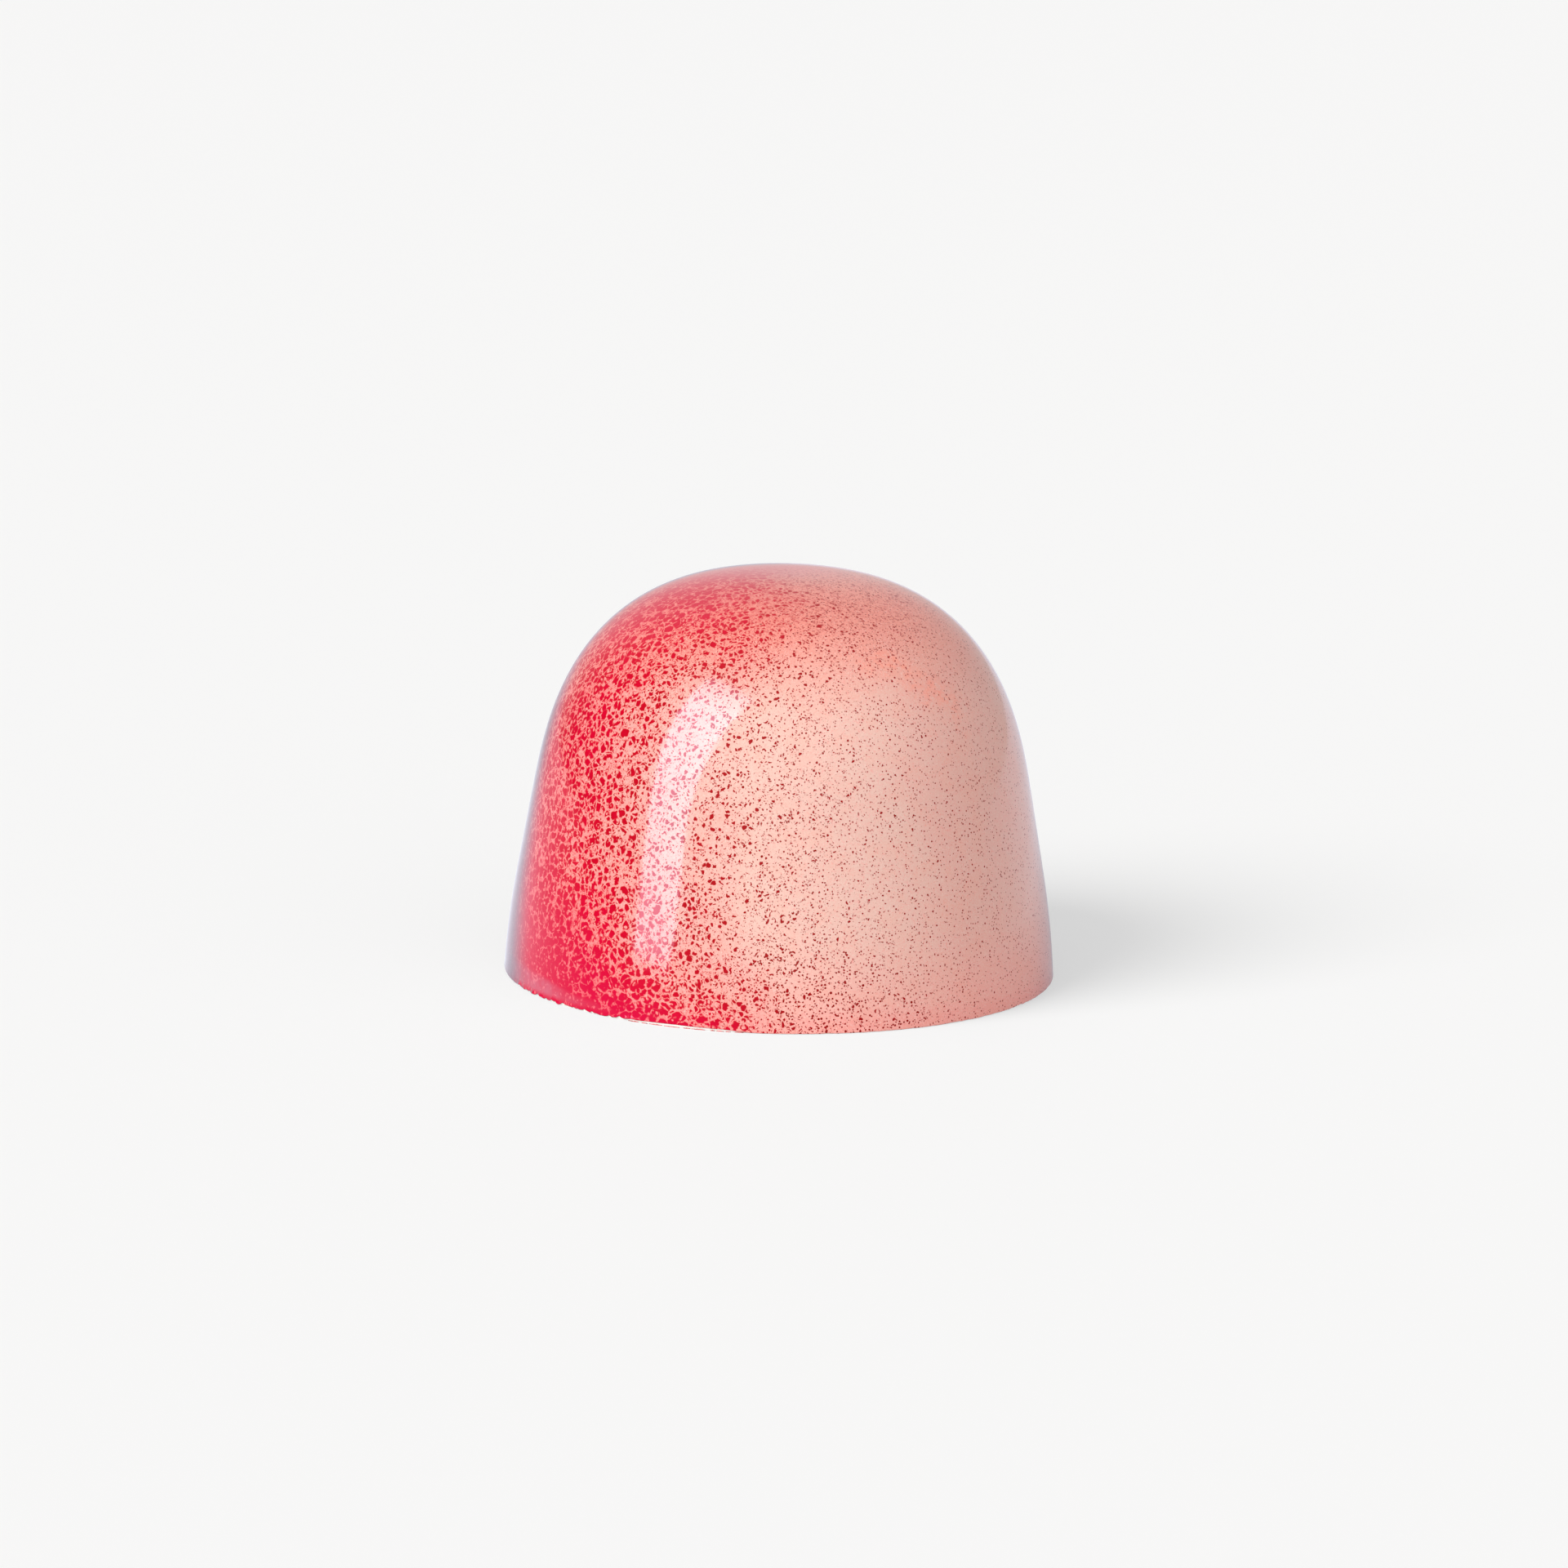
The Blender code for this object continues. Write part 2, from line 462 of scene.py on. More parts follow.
FULL_DROP = 0.64  # radius of a fully grown drop, in cells
UNBORN_DROP = -0.05
DROP_GROWTH = 0.6
CORNER_ROUNDING = 0.03  # in mm, as the next two are
DROP_RIM = 0.018
MOAT_BLUR = 0.03


def make_paint_drops():
    """One size of drop, one to a cell. A drop grows from nothing until it fills its cell as its
    share goes up, and keeps a channel clear round it where smaller drops stay out."""
    group, given, out = new_group(
        "Paint Drops",
        {
            "Place": (0.0, 0.0, 0.0),
            "Drops per mm": 2.0,
            "Share": 0.5,
            "Evenness": 0.35,
            "Channel": 0.04,
            "Spread": 0.0,
            "Moat": 0.04,
            "Softness": 0.02,
            "Outside Holes": 1.0,
            "Larger Drops": 0.0,
            "Room Left": 1.0,
        },
        ("Drops", "Room Left"),
    )
    per_mm = given["Drops per mm"]
    edge = cells(group, given["Place"], per_mm, "DISTANCE_TO_EDGE")["Distance"]
    middle = cells(group, given["Place"], per_mm)
    chance = group.nodes.new("ShaderNodeSeparateColor")
    feed(group, chance.inputs[0], middle["Color"])
    reach = reckon(group, "MULTIPLY", given["Share"], reckon(group, "ADD", given["Evenness"], 1.0))
    grown = reckon(group, "SUBTRACT", reach, chance.outputs[0])
    grown = reckon(group, "DIVIDE", grown, given["Evenness"], clamp=True)
    grown = reckon(group, "POWER", grown, DROP_GROWTH)
    radius = remap(group, grown, 0.0, 1.0, UNBORN_DROP, FULL_DROP, "LINEAR")
    radius = reckon(group, "ADD", radius, given["Spread"])
    round_part = reckon(group, "DIVIDE", reckon(group, "SUBTRACT", radius, middle["Distance"]), per_mm)
    straight_part = reckon(group, "SUBTRACT", reckon(group, "DIVIDE", edge, per_mm), given["Channel"])
    inside = reckon(group, "SMOOTH_MIN", round_part, straight_part, CORNER_ROUNDING)
    inside = reckon(group, "SMOOTH_MIN", inside, given["Outside Holes"], CORNER_ROUNDING)
    outer = reckon(group, "MULTIPLY_ADD", given["Softness"], -0.5, DROP_RIM)
    drop = remap(group, inside, outer, reckon(group, "ADD", outer, given["Softness"]))
    drop = reckon(group, "MULTIPLY", drop, given["Room Left"])
    feed(group, out["Drops"], reckon(group, "MAXIMUM", drop, given["Larger Drops"]))
    moat = reckon(group, "MULTIPLY", given["Moat"], -1.0)
    room = remap(group, inside, moat, reckon(group, "ADD", moat, MOAT_BLUR), 1.0, 0.0)
    feed(group, out["Room Left"], reckon(group, "MULTIPLY", room, given["Room Left"]))
    return group


STIRRING = ((0.9, 1.0, 0.50), (3.8, 2.0, 0.24))  # cells a mm, detail, reach in mm
# Cells a mm, detail and roughness of three noises.
THICKNESS = (2.0, 2.0, 0.5)
RUNS = (3.0, 2.0, 0.55)
GATHERING = (1.1, 2.0, 0.5)
CHANNEL_BY_RUNS = (0.25, 0.75, 0.105, -0.045)  # the last two are half widths in mm
CLOSING_BY_LOAD = (0.6, 1.3, -0.018, 0.072)
HOLES_PER_MM = 3.3
HOLE_OFFSET = (5.0, 3.0, 8.0)
HOLE_RADII = (0.02, 0.155)
HOLE_SHARE_BY_LOAD = (0.6, 1.2, 1.0, 0.45)
SPREAD_BY_LOAD = (0.9, 1.4, 0.0, 0.25)
MOAT = 0.04
DROP_SIZES = (
    # drops a mm, which load, load where they start and where most, share at each, evenness,
    # share of the channels' width, offset
    (2.2, "Coarse Load", 0.66, 0.97, 0.0, 1.0, 0.5, 1.0, (0.0, 0.0, 0.0)),
    (3.4, "Coarse Load", 0.34, 0.87, 0.01, 1.0, 0.5, 1.0, (3.1, 7.7, 1.9)),
    (5.2, "Load", 0.06, 0.60, 0.05, 1.0, 0.7, 0.9, (11.3, 2.7, 5.9)),
    (7.7, "Load", 0.00, 0.50, 0.05, 1.0, 0.8, 0.9, (7.9, 13.1, 2.3)),
)
DOTS_BY_LOAD = (0.0, 0.80, 0.80, 1.32)
DOTS_BY_GATHERING = (0.3, 0.7, 0.85, 1.1)
# Dots a mm, then smallest and largest radius in mm, and the offset.
FINE_DOTS = (5.9, 0.046, 0.073, (23.9, 17.1, 13.7))
FOOT_DOTS = (4.6, 0.052, 0.080, (4.3, 19.7, 8.9))
DOT_BLUR = 0.01  # in mm


def fine_dots(tree, place, sizes, grown):
    """Round dots, one to a cell, few of them large."""
    per_mm, small, large, offset = sizes
    middle = cells(tree, reckon_vector(tree, "ADD", place, offset), per_mm)
    chance = tree.nodes.new("ShaderNodeSeparateColor")
    feed(tree, chance.inputs[0], middle["Color"])
    luck = reckon(tree, "POWER", chance.outputs[1], 4.0)
    radius = remap(tree, luck, 0.0, 1.0, small * per_mm, large * per_mm, "LINEAR")
    inside = reckon(tree, "SUBTRACT", reckon(tree, "MULTIPLY", radius, grown), middle["Distance"])
    return remap(tree, inside, 0.0, DOT_BLUR * per_mm)


def make_red_splatter(paint_drops):
    """The red layer: large drops that ran into each other, then smaller ones in the room left
    between them, down to a mist of fine dots."""
    group, given, out = new_group(
        "Red Splatter",
        {
            "Place": (0.0, 0.0, 0.0),
            "Load": 0.5,
            "Coarse Load": 0.5,
            "Foot Spray": 0.0,
            "Softness": 0.03,
        },
        ("Paint", "Dots", "Thickness"),
    )
    # The wet paint crept a little, so the cells are stirred, and closed up here and there.
    stirred = given["Place"]
    for scale, detail, amount in STIRRING:
        stir = cloud(group, given["Place"], scale, detail, 0.5, "Color")
        stir = reckon_vector(group, "SUBTRACT", stir, (0.5,) * 3)
        stirred = reckon_vector(group, "MULTIPLY_ADD", stir, (amount,) * 3, stirred)
    thickness = remap(group, cloud(group, stirred, *THICKNESS), 0.35, 0.65)
    feed(group, out["Thickness"], thickness)
    runs = remap(group, cloud(group, given["Place"], *RUNS), *CHANNEL_BY_RUNS, "LINEAR")
    closing = remap(group, given["Load"], *CLOSING_BY_LOAD, "LINEAR")
    channel = reckon(group, "SUBTRACT", runs, closing)
    hole = cells(group, reckon_vector(group, "ADD", stirred, HOLE_OFFSET), HOLES_PER_MM)
    hole_radius = remap(group, hole["Color"], 0.0, 1.0, *HOLE_RADII, "LINEAR")
    hole_share = remap(group, given["Load"], *HOLE_SHARE_BY_LOAD, "LINEAR")
    hole_radius = reckon(group, "MULTIPLY", hole_radius, hole_share)
    from_hole = reckon(group, "DIVIDE", hole["Distance"], HOLES_PER_MM)
    outside_holes = reckon(group, "SUBTRACT", from_hole, hole_radius)
    spread = remap(group, given["Load"], *SPREAD_BY_LOAD, "LINEAR")
    drops, room = 0.0, 1.0
    for per_mm, by, start, full, share_start, share_full, evenness, narrowing, offset in DROP_SIZES:
        size = use_group(
            group, paint_drops,
            Place=reckon_vector(group, "ADD", stirred, offset), Drops_per_mm=per_mm,
            Share=remap(group, given[by], start, full, share_start, share_full, "LINEAR"),
            Evenness=evenness, Channel=reckon(group, "MULTIPLY", channel, narrowing), Moat=MOAT,
            Softness=given["Softness"], Outside_Holes=outside_holes, Spread=spread,
            Larger_Drops=drops, Room_Left=room,
        )
        drops, room = size["Drops"], size["Room Left"]
    gathered = remap(group, cloud(group, given["Place"], *GATHERING), *DOTS_BY_GATHERING, "LINEAR")
    by_load = remap(group, given["Load"], *DOTS_BY_LOAD, "LINEAR")
    gathered = reckon(group, "MULTIPLY", gathered, by_load)
    dots = fine_dots(group, given["Place"], FINE_DOTS, gathered)
    dots = reckon(group, "MULTIPLY", dots, room)
    low_dots = fine_dots(group, given["Place"], FOOT_DOTS, given["Foot Spray"])
    dots = reckon(group, "MAXIMUM", dots, low_dots)
    feed(group, out["Paint"], reckon(group, "MAXIMUM", drops, dots))
    feed(group, out["Dots"], dots)
    return group


paint_load = make_paint_load()
red_splatter = make_red_splatter(make_paint_drops())

SPRAY_BEARING = math.radians(192.0)  # from +X towards +Y
SPRAY_FROM = (math.cos(SPRAY_BEARING), math.sin(SPRAY_BEARING), 0.0)

# The peach coat, and what tints it.
PEACH = (0.755, 0.475, 0.405, 1.0)
PALE_PEACH = (0.860, 0.640, 0.570, 1.0)
SALMON = (0.820, 0.200, 0.195, 1.0)
CORAL = (0.820, 0.330, 0.240, 1.0)
FOOT_CORAL = (0.930, 0.335, 0.295, 1.0)
BLUSH = (0.745, 0.205, 0.160, 1.0)
FILM_RED = (0.760, 0.085, 0.125, 1.0)
# The red, from its single dots to its solid layer, and the overspray on the crown.
DOT_RED = (0.275, 0.009, 0.008, 1.0)
DEEP_RED = (0.420, 0.002, 0.010, 1.0)
RED = (0.580, 0.002, 0.024, 1.0)
THICK_RED = (0.580, 0.004, 0.043, 1.0)
HAZE_RED = (0.780, 0.140, 0.170, 1.0)
# The painted reflection of the table along the foot, and the painted reflection and shade at a glancing
# angle.
PAINTED_FOOT_REFLECTION_MAUVE = (0.500, 0.260, 0.340, 1.0)
PAINTED_RIM_REFLECTION_LILAC = (0.430, 0.310, 0.380, 1.0)
PAINTED_RIM_REFLECTION_DARK = (0.110, 0.105, 0.135, 1.0)
TABLE_GREY = (0.300, 0.300, 0.300, 1.0)
COCOA_BUTTER_IOR = 1.45

BRIGHT_CORAL = (0.950, 0.240, 0.150, 1.0)
SMEAR_FROM = (math.radians(-66.0), 18.5)  # bearing from +X, height in mm
SMEAR_TO = (math.radians(-36.0), 15.0)
SMEAR_WIDTH = 1.3
SMEAR_WANDER = 3.0  # in mm, as the width is
SMEAR_STRENGTH = 0.42
BROKEN = (0.38, 0.66, 0.10, 1.0)


def coral_smear(tree, place):
    """Where a broken smear of brighter coral shows through high on the side away from the red."""
    ends = []
    for bearing, height in (SMEAR_FROM, SMEAR_TO):
        radius = wall_radius(height * MM) / MM
        ends.append(Vector((radius * math.cos(bearing), radius * math.sin(bearing), height)))
    middle, along = 0.5 * (ends[0] + ends[1]), (ends[1] - ends[0]).normalized()
    outward = Vector((middle.x, middle.y, 0.35 * middle.z)).normalized()
    across = along.cross(outward).normalized()
    half_length = 0.5 * (ends[1] - ends[0]).length
    wander = reckon_vector(tree, "SUBTRACT", cloud(tree, place, 0.5, 3.0, 0.6, "Color"), (0.5,) * 3)
    offset = reckon_vector(tree, "SUBTRACT", place, tuple(middle))
    offset = reckon_vector(tree, "MULTIPLY_ADD", wander, (SMEAR_WANDER,) * 3, offset)
    off, reach, front = (
        reckon_vector(tree, "DOT_PRODUCT", offset, tuple(axis), result="Value")
        for axis in (across, along, outward)
    )
    off = reckon(tree, "ABSOLUTE", off)
    reach = reckon(tree, "ABSOLUTE", reach)
    mask = remap(tree, off, 0.2, SMEAR_WIDTH, 1.0, 0.0)
    ends_fade = remap(tree, reach, 0.6 * half_length, 1.3 * half_length, 1.0, 0.0)
    mask = reckon(tree, "MULTIPLY", mask, ends_fade)
    mask = reckon(tree, "MULTIPLY", mask, remap(tree, front, -6.0, -4.0))
    broken = remap(tree, cloud(tree, place, 2.2, 5.0, 0.75), *BROKEN)
    return reckon(tree, "MULTIPLY", reckon(tree, "MULTIPLY", mask, broken), SMEAR_STRENGTH)


# Ranges as above: what is read from and to, then the result at each end.
PEACH_VARIATION = (
    # cells a mm, detail, roughness, noise where the tint starts and is full, its share, tint
    (10.0, 3.0, 0.7, 0.48, 0.70, 0.42, SALMON),
    (15.0, 2.0, 0.8, 0.50, 0.72, 0.60, PALE_PEACH),
    (0.9, 3.0, 0.6, 0.40, 0.70, 0.16, CORAL),
)
FILM_BY_LOAD = (0.95, 1.35, 0.0, 0.8)
THINNING = -0.3  # thicker paint keeps more of the deep red
SOLID_BY_LOAD = (0.85, 1.25)
SPARSE_BY_LOAD = (0.50, 0.95, 0.70, 0.0)
# Where the painted reflection of the table lies along the foot.
FOOT_REFLECTION_TOP_BY_LOAD = (1.25, 1.60, 0.7, 2.1)  # the last two in mm
FOOT_REFLECTION_BY_RISE = (0.55, 1.05, 1.0, 0.0)
FOOT_REFLECTION_START = (0.12, 0.45)  # in mm
FOOT_REFLECTION_BY_LOAD = (1.20, 1.58, 0.0, 0.42)
FOOT_REFLECTION_BREAKUP = (0.3, 0.7, 0.55, 1.0)
# Where the painted reflection and shade at the rim lie.
PAINTED_RIM_AT_FOOT = (0.0, 0.45, 0.12, 0.0)
HEAVY_BY_LOAD = (0.25, 0.90)
PAINTED_RIM_BY_TURN = (0.67, 0.92, 0.0, 0.80)
PAINTED_RIM_BY_HEIGHT = (0.55, 0.88, 1.0, 0.15)
PAINTED_RIM_AT_EDGE = (0.86, 0.97, 0.0, 0.75)
GLOSS_BY_SMEAR = (0.3, 0.7, 0.05, 0.09)  # the last two are roughnesses
DROP_RELIEF = 0.3


def painted_foot_reflection(tree, place, load):
    """A painted reflection of the table: a pale mauve band along the foot, where the red is thickest.
    """
    rise = reckon_vector(tree, "DOT_PRODUCT", place, (0.0, 0.0, 1.0), result="Value")
    top = remap(tree, load, *FOOT_REFLECTION_TOP_BY_LOAD, "LINEAR")
    foot_reflection = remap(tree, reckon(tree, "DIVIDE", rise, top), *FOOT_REFLECTION_BY_RISE)
    foot_reflection = reckon(tree, "MULTIPLY", foot_reflection, remap(tree, rise, *FOOT_REFLECTION_START))
    foot_reflection = reckon(tree, "MULTIPLY", foot_reflection, remap(tree, load, *FOOT_REFLECTION_BY_LOAD))
    breath = remap(tree, cloud(tree, place, 1.3, 3.0, 0.6), *FOOT_REFLECTION_BREAKUP)
    return reckon(tree, "MULTIPLY", foot_reflection, breath)


def painted_finish():
    """Peach cocoa butter with the red splatter in it, all flush under one gloss, with a painted
    reflection at the rim and along the foot.
    """
    material, tree, shader = new_finish("painted_cocoa_butter")
    place = millimetres(tree)
    sprayed = use_group(
        tree, paint_load,
        Place=place, Spray_From=SPRAY_FROM,
        Dome_Radius=DOME_RADIUS / MM, Dome_Height=DOME_HEIGHT / MM,
    )
    load = sprayed["Load"]
    splatter = use_group(
        tree, red_splatter,
        Place=place, Load=load, Coarse_Load=sprayed["Coarse Load"],
        Foot_Spray=sprayed["Foot Spray"], Softness=sprayed["Softness"],
    )

    ground = blend(tree, sprayed["Mist"], PEACH, SALMON)
    ground = blend(tree, sprayed["Foot Film"], ground, FOOT_CORAL)
    ground = blend(tree, sprayed["Crown Blush"], ground, BLUSH)
    for scale, detail, roughness, start, full, most, tint in PEACH_VARIATION:
        patch = cloud(tree, place, scale, detail, roughness)
        ground = blend(tree, remap(tree, patch, start, full, 0.0, most), ground, tint)
    ground = blend(tree, coral_smear(tree, place), ground, BRIGHT_CORAL)
    ground = blend(tree, remap(tree, load, *FILM_BY_LOAD), ground, FILM_RED)

    body = reckon(tree, "MULTIPLY_ADD", splatter["Thickness"], THINNING, sprayed["Mist"], clamp=True)
    red = blend(tree, body, DEEP_RED, RED)
    red = blend(tree, remap(tree, load, *SOLID_BY_LOAD), red, THICK_RED)
    sparse = remap(tree, load, *SPARSE_BY_LOAD)
    red = blend(tree, reckon(tree, "MAXIMUM", sparse, splatter["Dots"]), red, DOT_RED)
    colour = blend(tree, splatter["Paint"], ground, red)
    colour = blend(tree, sprayed["Haze"], colour, HAZE_RED)
    # Painted reflection of the table, low along the foot where the red is heaviest.
    colour = blend(tree, painted_foot_reflection(tree, place, load), colour, PAINTED_FOOT_REFLECTION_MAUVE)

    # Painted reflection and shade: where the surface turns away from the eye, and low at the foot, the
    # colour turns lilac, or dark grey where the red is heavy.
    turned = tree.nodes.new("ShaderNodeLayerWeight")
    turned.inputs["Blend"].default_value = 0.5
    up = (0.0, 0.0, MM / DOME_HEIGHT)
    height = reckon_vector(tree, "DOT_PRODUCT", place, up, result="Value")
    lowness = remap(tree, height, *PAINTED_RIM_AT_FOOT, "LINEAR")
    turning = reckon(tree, "ADD", turned.outputs["Facing"], lowness)
    heavy = remap(tree, load, *HEAVY_BY_LOAD)
    rim = remap(tree, turning, *PAINTED_RIM_BY_TURN)
    rim = reckon(tree, "MULTIPLY", rim, reckon(tree, "MULTIPLY_ADD", heavy, 0.8, 0.2))
    rim = reckon(tree, "MULTIPLY", rim, remap(tree, height, *PAINTED_RIM_BY_HEIGHT))
    edge = remap(tree, turned.outputs["Facing"], *PAINTED_RIM_AT_EDGE)
    rim = reckon(tree, "MAXIMUM", rim, reckon(tree, "MULTIPLY", edge, heavy))
    colour = blend(tree, rim, colour, blend(tree, heavy, PAINTED_RIM_REFLECTION_LILAC, PAINTED_RIM_REFLECTION_DARK))
    # The table is lit evenly from below, so the dome hardly tints it.
    ray = tree.nodes.new("ShaderNodeLightPath")
    colour = blend(tree, ray.outputs["Is Diffuse Ray"], colour, TABLE_GREY)
    feed(tree, shader.inputs["Base Color"], colour)

    smear = cloud(tree, place, 0.6, 4.0, 0.6)
    feed(tree, shader.inputs["Roughness"], remap(tree, smear, *GLOSS_BY_SMEAR))
    skin = cloud(tree, place, 5.0, 3.0, 0.5)
    relief = reckon(tree, "MULTIPLY_ADD", splatter["Paint"], DROP_RELIEF, skin)
    emboss(tree, shader, relief, 0.25, 0.01 * MM)
    shader.inputs["IOR"].default_value = COCOA_BUTTER_IOR
    return material


painted_dome = dome_mesh()
painted_dome.data.materials.append(painted_finish())
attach(painted_dome, "root")
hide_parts("bonbon")


# ---------------------------------------------------------------------------------------------
# The closing layer. Ivory chocolate poured into the filled shell and scraped level, so it ends a
# hair inside the paint and shows as a thin pale line where the paint's edge has come away.
# ---------------------------------------------------------------------------------------------

LAYER_RADIUS = DOME_RADIUS - 0.07 * MM
LAYER_TOP = 0.45 * MM
LAYER_ROUNDING = 0.04 * MM
LAYER_WAVER = 0.02 * MM
LAYER_SLOPE = 0.6 * MM  # how far its hidden top draws in
LAYER_WAVES_A_TURN = 300.0
SCRAPE_DEPTH = 0.03 * MM
SCRAPE_START = 0.3 * MM  # from the rim
BROAD_MARKS = (0.9, 0.12)  # marks a mm, across and along the blade's stroke
NARROW_MARKS = (3.1, 0.3)
SCRAPE_RINGS = 24
HALVED_RING = 3
QUARTERED_RING = 12


def scrape(x, y):
    """Height of the scraped underside: long shallow marks left by the blade, none below the foot."""
    broad = noise.noise((BROAD_MARKS[0] * x / MM, BROAD_MARKS[1] * y / MM, 4.0))
    narrow = noise.noise((NARROW_MARKS[0] * x / MM, NARROW_MARKS[1] * y / MM, 9.0))
    return SCRAPE_DEPTH * smooth_step(0.05, 0.9, broad + 0.5 * narrow)


def closing_layer_mesh():
    """A thin disc: its pale rim, a hidden top under the dome, and the scraped underside."""
    shape = bmesh.new()

    def rim(inset, height, waver):
        def place(bearing):
            wander = waver * edge_noise(bearing, LAYER_WAVES_A_TURN, 8)
            return LAYER_RADIUS - inset + wander, height
        return place

    columns = FOOT_COLUMNS // 2
    rings = [
        ring_of(shape, columns, rim(LAYER_ROUNDING, 0.0, LAYER_WAVER)),
        ring_of(shape, columns, rim(0.0, LAYER_ROUNDING, LAYER_WAVER)),
        ring_of(shape, columns, rim(0.0, 0.5 * LAYER_TOP, 0.5 * LAYER_WAVER)),
        ring_of(shape, columns, rim(LAYER_SLOPE, LAYER_TOP, 0.0)),
    ]
    for lower, upper in zip(rings, rings[1:]):
        bridge(shape, lower, upper)
    cap(shape, rings[-1], LAYER_TOP, upwards=True)
    inner = rings[0]
    for i in range(1, SCRAPE_RINGS):
        radius = (LAYER_RADIUS - SCRAPE_START) * (1.0 - i / SCRAPE_RINGS)
        count = columns if i < HALVED_RING else columns // 2 if i < QUARTERED_RING else columns // 4
        ring = []
        for bearing in bearings(count):
            x, y = radius * math.cos(bearing), radius * math.sin(bearing)
            ring.append(shape.verts.new((x, y, scrape(x, y))))
        bridge(shape, ring, inner)
        inner = ring
    cap(shape, inner, scrape(0.0, 0.0), upwards=False)
    return finished("closing_layer", shape)


IVORY = (0.93, 0.91, 0.88, 1.0)
CREAM = (0.88, 0.83, 0.75, 1.0)
STREAK_STRETCH = (1.6, 0.25, 1.0)
STREAKS = (0.3, 0.7)


def ivory_finish():
    """Ivory chocolate, streaked and dulled along the strokes of the scraper."""
    material, tree, shader = new_finish("ivory_chocolate")
    place = millimetres(tree)
    drawn = reckon_vector(tree, "MULTIPLY", place, STREAK_STRETCH)
    streaks = cloud(tree, drawn, 1.0, 4.0, 0.6)
    colour = blend(tree, remap(tree, streaks, *STREAKS), IVORY, CREAM)
    feed(tree, shader.inputs["Base Color"], colour)
    feed(tree, shader.inputs["Roughness"], remap(tree, streaks, *STREAKS, 0.32, 0.5))
    emboss(tree, shader, cloud(tree, drawn, 3.0, 5.0, 0.6), 0.3, 0.04 * MM)
    shader.inputs["IOR"].default_value = COCOA_BUTTER_IOR
    return material


closing_layer = closing_layer_mesh()
closing_layer.data.materials.append(ivory_finish())
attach(closing_layer, "root")
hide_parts("bonbon")


# ---------------------------------------------------------------------------------------------
# The paint flash. When the bonbon was knocked out of its mould, a hair of the red skin stayed at
# the foot of the closing layer: a broken line of thin flakes at the front, beside the heaviest red.
# ---------------------------------------------------------------------------------------------

FLASH_BEARINGS = (238.0, 263.0)  # degrees from +X towards +Y
FLASH_HEIGHT = 0.045 * MM
FLASH_THICKNESS = 0.03 * MM
FLASH_BITE = 0.02 * MM  # how far it reaches into the closing layer
FLAKE_LENGTHS = (0.15 * MM, 0.90 * MM)
FLAKE_GAPS = (0.05 * MM, 0.35 * MM)
FLAKE_STEP = 0.06 * MM
FLASH_RED = (0.420, 0.060, 0.060, 1.0)
FLASH_SEED = 5


def flake(shape, first, length, chance):
    """One closed flake along the foot, thinnest at its ends."""
    count = max(3, round(length / FLAKE_STEP))
    sections = []
    for i in range(count + 1):
        share = i / count
        bearing = first + length * share / LAYER_RADIUS
        taper = 0.35 + 0.65 * math.sin(math.pi * share)
        high = FLASH_HEIGHT * taper * (0.7 + 0.6 * chance.random())
        inner = LAYER_RADIUS - FLASH_BITE
        outer = LAYER_RADIUS + FLASH_THICKNESS * taper
        corners = ((inner, 0.0), (outer, 0.0), (outer, 0.8 * high), (inner, high))
        section = []
        for radius, z in corners:
            place = (radius * math.cos(bearing), radius * math.sin(bearing), z)
            section.append(shape.verts.new(place))
        sections.append(section)
    for near, far in zip(sections, sections[1:]):
        for i in range(4):
            j = (i + 1) % 4
            shape.faces.new((near[i], near[j], far[j], far[i]))
    shape.faces.new(sections[0])
    shape.faces.new(tuple(reversed(sections[-1])))


def paint_flash_mesh():
    """The flakes one after another, with gaps between them."""
    chance = random.Random(FLASH_SEED)
    shape = bmesh.new()
    at, end = (math.radians(degrees) for degrees in FLASH_BEARINGS)
    while at < end:
        length = chance.uniform(*FLAKE_LENGTHS)
        flake(shape, at, length, chance)
        at += (length + chance.uniform(*FLAKE_GAPS)) / LAYER_RADIUS
    return finished("paint_flash", shape)


def flash_finish():
    """Thin red skin that the salmon coat shows through in patches."""
    material, tree, shader = new_finish("red_flash")
    place = millimetres(tree)
    patches = remap(tree, cloud(tree, place, 4.0, 3.0, 0.6), 0.35, 0.65)
    feed(tree, shader.inputs["Base Color"], blend(tree, patches, FLASH_RED, SALMON))
    feed(tree, shader.inputs["Roughness"], remap(tree, patches, 0.0, 1.0, 0.25, 0.45))
    return material


paint_flash = paint_flash_mesh()
paint_flash.data.materials.append(flash_finish())
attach(paint_flash, "root")
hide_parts("bonbon")


# ---------------------------------------------------------------------------------------------
# The floor. A plain pale studio table, lit a little from below, wide enough to fill every view.
# ---------------------------------------------------------------------------------------------

FLOOR_HALF = 6.0
TABLE_PALE = (0.90, 0.90, 0.90, 1.0)
TABLE_GLOW = (0.92, 0.92, 0.92, 1.0)
TABLE_GLOW_SHARE = 0.50
# What the gloss sees of the table: its tint, and how bright it is by direction and by distance.
MIRRORED_TINT = (0.95, 1.00, 1.12, 1.0)
MIRROR_START = (0.0, 12.0 * MM, 0.0)
BRIGHT_BEHIND = (0.0, 0.65, 0.06, 1.0)
LEFT_TO_RIGHT = (-6.0 * MM, 6.0 * MM)
BRIGHT_ON_LEFT = (30.0 * MM, 110.0 * MM, 1.10, 0.72)
BRIGHT_ON_RIGHT = (18.0 * MM, 55.0 * MM, 0.45, 0.86)


